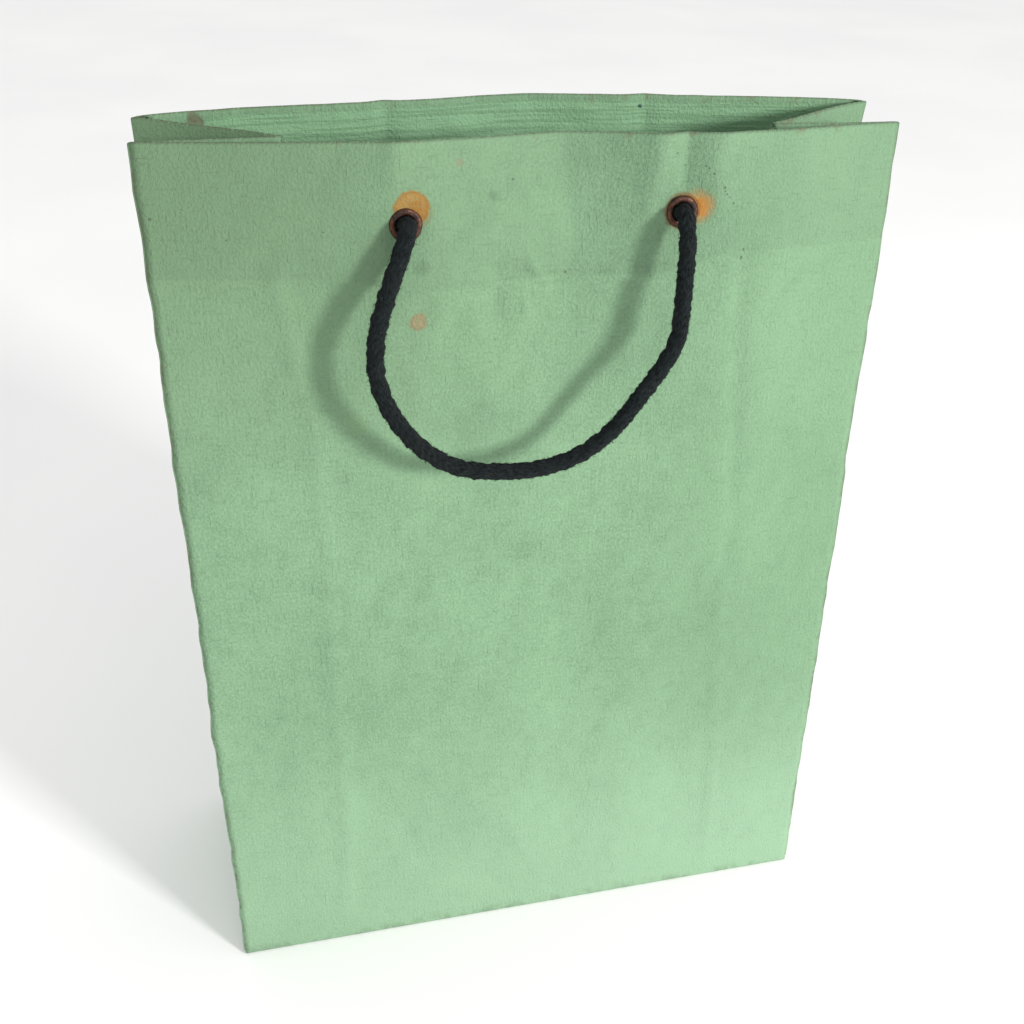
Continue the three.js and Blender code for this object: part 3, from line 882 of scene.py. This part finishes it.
def eyelet_points(side, hand):
    """An eyelet's surface, a little bent, with a toothed rim where its barrel split."""
    point, normal = seat(side, hand)
    x_dir = np.cross(normal, [0, 0, 1.0])
    x_dir /= np.linalg.norm(x_dir)
    y_dir = np.cross(normal, x_dir)
    phase = np.random.default_rng(60 + 2 * side + hand).uniform(0, 6, 3)
    points = []
    for r, h in EYELET_PROFILE:
        on_flange = r > 3.3
        on_rim = h < -1.2 and r > 4
        for a in np.linspace(0, 2 * math.pi, EYELET_AROUND, endpoint=False):
            dent = 0.05 * math.sin(2 * a + phase[0]) + 0.04 * math.sin(5 * a + phase[1])
            split = 0.16 * max(0.0, math.cos(7 * a + phase[2])) ** 6 if on_rim else 0.0
            radius = r + (dent if on_flange else 0.0) - split
            outward = math.cos(a) * x_dir + math.sin(a) * y_dir
            points.append(point + (h + 0.5 * dent) * normal + radius * outward)
    return points


def add_eyelets():
    """The four eyelets, as closed rings."""
    rows = len(EYELET_PROFILE)
    faces = []
    for i in range(rows):
        for j in range(EYELET_AROUND):
            row, next_row = i * EYELET_AROUND, (i + 1) % rows * EYELET_AROUND
            next_j = (j + 1) % EYELET_AROUND
            faces.append((row + j, row + next_j, next_row + next_j, next_row + j))
    for side, name in SIDES.items():
        for hand, which in HANDS.items():
            ring = make_object(f"{name}_{which}_eyelet_ring", eyelet_points(side, hand), faces, COPPER)
            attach(ring, f"{name}_wall")
            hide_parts(f"{name}_{which}_eyelet")


# ---- paper: walls with their bottom flap and hem ----
def wall_profile(side):
    """Rows of a wall's sheet, from the bottom flap's free edge to the hem's: (kind, place)."""
    eyelet = HEIGHT - EYELET_DROP
    flap = line(FLAP, 1.2, 3.0)
    turn = np.linspace(0, 1, 7)[1:-1]
    straight = finer(line(1.2, HEIGHT - FOLD_UP, 2.4), [eyelet], SEAT_FLAT, 1.0)
    straight = finer(straight, [HEIGHT - HEM], 10.0, 1.0)
    over = np.linspace(0, math.pi, 9)[1:]
    hem = finer(line(HEIGHT - FOLD_UP - 0.6, HEIGHT - HEM, 2.4), [eyelet], SEAT_FLAT, 1.0)[::-1]
    kinds = (("flap", flap), ("turn", turn), ("wall", straight), ("over", over), ("hem", hem))
    return [(kind, place) for kind, places in kinds for place in places]


def add_wall(side, material):
    """One sheet: bottom flap, rounded foot, wall, the fold over the mouth, and the hem inside."""
    name = SIDES[side]
    xs = finer(line(-WIDTH / 2, WIDTH / 2, 2.4), [-EYELET_X, EYELET_X], SEAT_FLAT, 1.0)
    xs = finer(xs, [0.0], 12.0, 1.0)
    trim = 1 - 2 * HEM_TRIM / WIDTH
    flap_width = 0.992

    def low_row(x, y, z):
        return np.stack([x, np.full_like(xs, side * y), z + np.zeros_like(xs)], -1)

    foot_wall = wall(side, xs, 1.2, -PAPER / 2)
    foot_flap = low_row(xs * flap_width, DEPTH / 2 - 1.2, PAPER / 2)
    foot_corner = low_row(xs, DEPTH / 2 + 0.15, PAPER / 2)
    rows, coords = [], []
    for kind, v in wall_profile(side):
        if kind == "flap":  # the front one climbs over the rear one
            climb = 0.62 * smooth(v, 24.0, 28.5) if side < 0 else 0.0
            z = PAPER / 2 + climb + 0.06 * QUICK[side](xs, v) * (v > 3)
            rows.append(low_row(xs * (flap_width - 0.0006 * v), DEPTH / 2 - v, np.maximum(z, PAPER / 2)))
            coords.append((xs, -v))
        elif kind == "turn":
            rows.append((1 - v) ** 2 * foot_flap + 2 * v * (1 - v) * foot_corner + v**2 * foot_wall)
            coords.append((xs, v - 0.6))
        elif kind == "wall":
            rows.append(wall(side, xs, v, -PAPER / 2))
            coords.append((xs, v))
        elif kind == "over":
            squeeze = 1 - (1 - trim) * (1 - math.cos(v)) / 2
            s = HEIGHT - FOLD_UP + FOLD_UP * math.sin(v)
            rows.append(wall(side, xs * squeeze, s, -PAPER / 2 + FOLD_UP * (1 - math.cos(v))))
            coords.append((xs * squeeze, HEIGHT - FOLD_UP + FOLD_UP * v))
        else:
            gap = 0.25 * smooth(HEIGHT - v, 30, 44)
            rows.append(wall(side, xs * trim, v, -PAPER / 2 + 2 * FOLD_UP + gap))
            coords.append((xs * trim, 2 * HEIGHT - v))
    centre, uv = grid(rows, coords)
    sheet = paper_sheet(f"{name}_wall_sheet", centre, uv, material, hole=EYELET_HOLE, ragged=0.35,
                        seed=70 + side)
    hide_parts(f"{name}_panel", f"{name}_hem",
                "base_front_flap" if side < 0 else "base_outer_flap")
    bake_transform(sheet)


def add_stiffener(side):
    """The card between wall and hem; only its lower edge and its ends can be seen."""
    name = SIDES[side]
    reach = WIDTH / 2 - HEM_INSET
    xs = finer(line(-reach, reach, 3.0), [-EYELET_X, EYELET_X], SEAT_FLAT, 1.0)
    ss = finer(line(HEIGHT - HEM + 4, HEIGHT - 2, 3.0), [HEIGHT - EYELET_DROP], SEAT_FLAT, 1.0)
    centre, uv = grid([wall(side, xs, s, 0.3) for s in ss], [(xs, s) for s in ss])
    card = paper_sheet(f"{name}_card", centre, uv, CARD_MATERIAL, thickness=STIFFENER,
                       hole=EYELET_HOLE + 0.1)
    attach(card, f"{name}_wall")
    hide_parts(f"{name}_reinforcement_card")


# ---- paper: gussets ----
def gusset_slack(side, hand, u, s):
    """A gusset half bows a little, and its middle crease shows as a soft line."""
    share = u / np.maximum(GUSSET[side] * s / HEIGHT, 1e-6)
    bow = np.clip(share * (1 - share) * 4, 0, 1)
    return 0.6 * bow * smooth(s, 20, 120) * (0.5 + SLOW[0](u + 90 * hand, s + 50 * side))


def add_gusset_half(side, hand):
    """The triangle behind a wall, from the wall's edge to its crease, with its hem inside."""
    name, which = SIDES[side], HANDS[hand]
    along, inward = gusset_axes(side, hand)
    x_unit = np.array([1.0, 0.0, 0.0])
    foot = corner(side, hand)
    shares = np.linspace(0, 1, 22)
    around = np.linspace(0, math.pi - fold_angle(side), 6)[:-1]
    edge_u = np.linspace(-1, -0.2, len(around))  # sheet coordinate round the wall's edge
    rows, coords = [], []

    def crease(s):
        return GUSSET[side] * s / HEIGHT

    def row(s, depth, low, high):
        """Points from low to high away from the wall's edge, and how far each one is."""
        u = low + (high - low) * shares
        off_line = wobble(hand, s) * np.exp(-u / 4)
        point = foot + s * up(side) + u[:, None] * along + off_line[:, None] * x_unit
        return point + (depth + gusset_slack(side, hand, u, s))[:, None] * inward, u

    def rounded(s):
        """The fold at the wall's edge, from the wall's middle surface round to the gusset's."""
        arc = [0.25 * (math.cos(a) * out(side) + math.sin(a) * hand * x_unit) for a in around]
        return foot + s * up(side) + wobble(hand, s) * x_unit + np.array(arc)

    def keep(edge, edge_coords, points, u, sheet_s):
        rows.append(np.concatenate([edge, points]))
        coords.append((np.concatenate([edge_coords, u]) * -hand + hand * WIDTH / 2, sheet_s))

    for s in line(3.0, HEIGHT - FOLD_UP, 3.2):
        points, u = row(s, -PAPER / 2, 0.0, crease(s) + 0.1)
        keep(rounded(s), edge_u, points, u, s)
    for v in np.linspace(0, math.pi, 9)[1:]:  # over the mouth
        share = (1 - math.cos(v)) / 2
        s = HEIGHT - FOLD_UP + FOLD_UP * math.sin(v)
        depth = -PAPER / 2 + 0.45 * (1 - math.cos(v))
        points, u = row(s, depth, HEM_INSET * share, crease(s) - 0.6 * share)
        edge = rounded(s) * (1 - share) + points[0] * share
        keep(edge, edge_u, points, u, HEIGHT - FOLD_UP + FOLD_UP * v)
    for s in line(HEIGHT - 1.2, HEIGHT - HEM, 3.0):  # down the hem
        points, u = row(s, 0.65, HEM_INSET, crease(s) - 0.6)
        edge = np.repeat(points[:1], len(around), axis=0)
        keep(edge, np.full(len(around), HEM_INSET), points, u, 2 * HEIGHT - s)
    centre, uv = grid(rows, coords)
    if side * hand > 0:
        centre, uv = flipped(centre, uv)
    sheet = paper_sheet(f"{which}_gusset_{name}_sheet", centre, uv, PAPER_SIDE, ragged=0.25,
                        seed=80 + side + 2 * hand)
    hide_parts(f"{which}_gusset_{name}", f"{which}_gusset_{name}_hem")
    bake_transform(sheet)


def add_gusset_centre(hand):
    """The long centre triangle with its bottom tuck, one sheet; its middle crease pushes in."""
    which = HANDS[hand]
    lean_in = math.asin(TIP_INSET / HEIGHT)
    rise = np.array([-hand * math.sin(lean_in), 0, math.cos(lean_in)])
    inward = np.array([-hand * math.cos(lean_in), 0, -math.sin(lean_in)])
    foot = np.array([hand * WIDTH / 2, 0, 0])
    crease_y = -DEPTH / 2 + GUSSET[-1]
    shares = np.linspace(-1, 1, 33)
    rows, coords = [], []

    def edges(s):
        """The triangle's two edges, tucked a little behind its neighbours where there is room."""
        front_lap = min(max(0.010 * s - 0.35, -0.5), 0.9)
        rear_lap = min(max(0.055 * s - 0.5, -0.5), 0.9)
        return (-(DEPTH / 2 - GUSSET[-1] * s / HEIGHT) - front_lap,
                (DEPTH / 2 - GUSSET[1] * s / HEIGHT) + rear_lap)

    def push(s, width):
        """How far the middle crease is pushed into the bag."""
        pinch = 6.0 * smooth(s, 6, 62) * (1 - 0.75 * smooth(s, 150, 318))
        return min(pinch, 0.45 * width / 2)

    for v in line(TUCK, 1.5, 3.0):  # the tuck, lying under the base card
        half = DEPTH / 2 - 1.2 - max(0.0, v - 1.0)
        y = shares * max(half, 4.5)
        rows.append(np.stack([np.full_like(y, hand * (WIDTH / 2 - v)), y, np.full_like(y, 1.75)], -1))
        coords.append((y, -v))
    for s in line(1.5, HEIGHT - 1.0, 3.2):
        front, rear = edges(s)
        y = (front + rear) / 2 + (rear - front) / 2 * shares
        span = np.where(y < crease_y, crease_y - front, rear - crease_y)
        share = 1 - np.clip(np.abs(y - crease_y) / np.maximum(span, 0.1), 0, 1)
        bottom = np.clip((s - (DEPTH / 2 - np.abs(y))) / 9.0, 0, 1)  # the slanting bottom creases
        depth = (-PAPER / 2 + push(s, rear - front) * share * bottom
                 + 0.35 * share * SLOW[0](y + 200 * hand, s))
        rows.append(foot + s * rise + np.stack([0 * y, y, 0 * y], -1) + depth[:, None] * inward)
        coords.append((y, s))
    centre, uv = grid(rows, coords)
    if hand > 0:
        centre, uv = flipped(centre, uv)
    sheet = paper_sheet(f"{which}_gusset_centre_sheet", centre, uv, PAPER_SIDE, ragged=0.15,
                        seed=90 + hand)
    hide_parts(f"{which}_gusset_centre", f"base_{which}_tuck")
    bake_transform(sheet)


# ---- paper: seam tab, and the base card ----
def add_seam_tab():
    """The glued lap of the sheet's two ends, inside the rear wall."""
    near, far = (-WIDTH / 2 + reach for reach in TAB)
    xs = line(near, far, 1.5)
    ss = line(12, HEIGHT - HEM - 4, 3.0)
    depth = 0.22 + 0.25 * smooth(xs, far - 3, far) + PAPER / 2
    centre, uv = grid([wall(1, xs + 0.25 * math.sin(s / 9), s, depth) for s in ss],
                      [(xs + 300, s) for s in ss])
    centre, uv = flipped(centre, uv)
    tab = paper_sheet("seam_tab_sheet", centre, uv, PAPER_SIDE, thickness=0.4, ragged=0.3, seed=95)
    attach(tab, "rear_wall")
    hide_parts("side_seam_tab")


def add_base_card():
    """The loose card on the bag's bottom, with slightly lifted corners."""
    low, high = (np.array(c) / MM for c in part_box("base_board"))
    xs, ys = line(low[0], high[0], 6.0), line(low[1], high[1], 6.0)
    middle = (low[2] + high[2]) / 2
    curl = 0.5 * (2 * np.abs(xs) / WIDTH) ** 6
    rows = [np.stack([xs, np.full_like(xs, y), middle + curl + 0.12 * SLOW[0](xs, y)], -1) for y in ys]
    centre, uv = grid(rows, [(xs, y) for y in ys])
    card = paper_sheet("base_card", centre, uv, CARD_MATERIAL, thickness=BOARD)
    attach(card, "base")
    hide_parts("base_board")


# ---- the bag ----
add_camera()
add_ropes()
add_eyelets()
add_wall(-1, PAPER_FRONT)
add_wall(1, PAPER_REAR)
for side in SIDES:
    add_stiffener(side)
for hand in HANDS:
    for side in SIDES:
        add_gusset_half(side, hand)
    add_gusset_centre(hand)
add_seam_tab()
add_base_card()
add_studio()
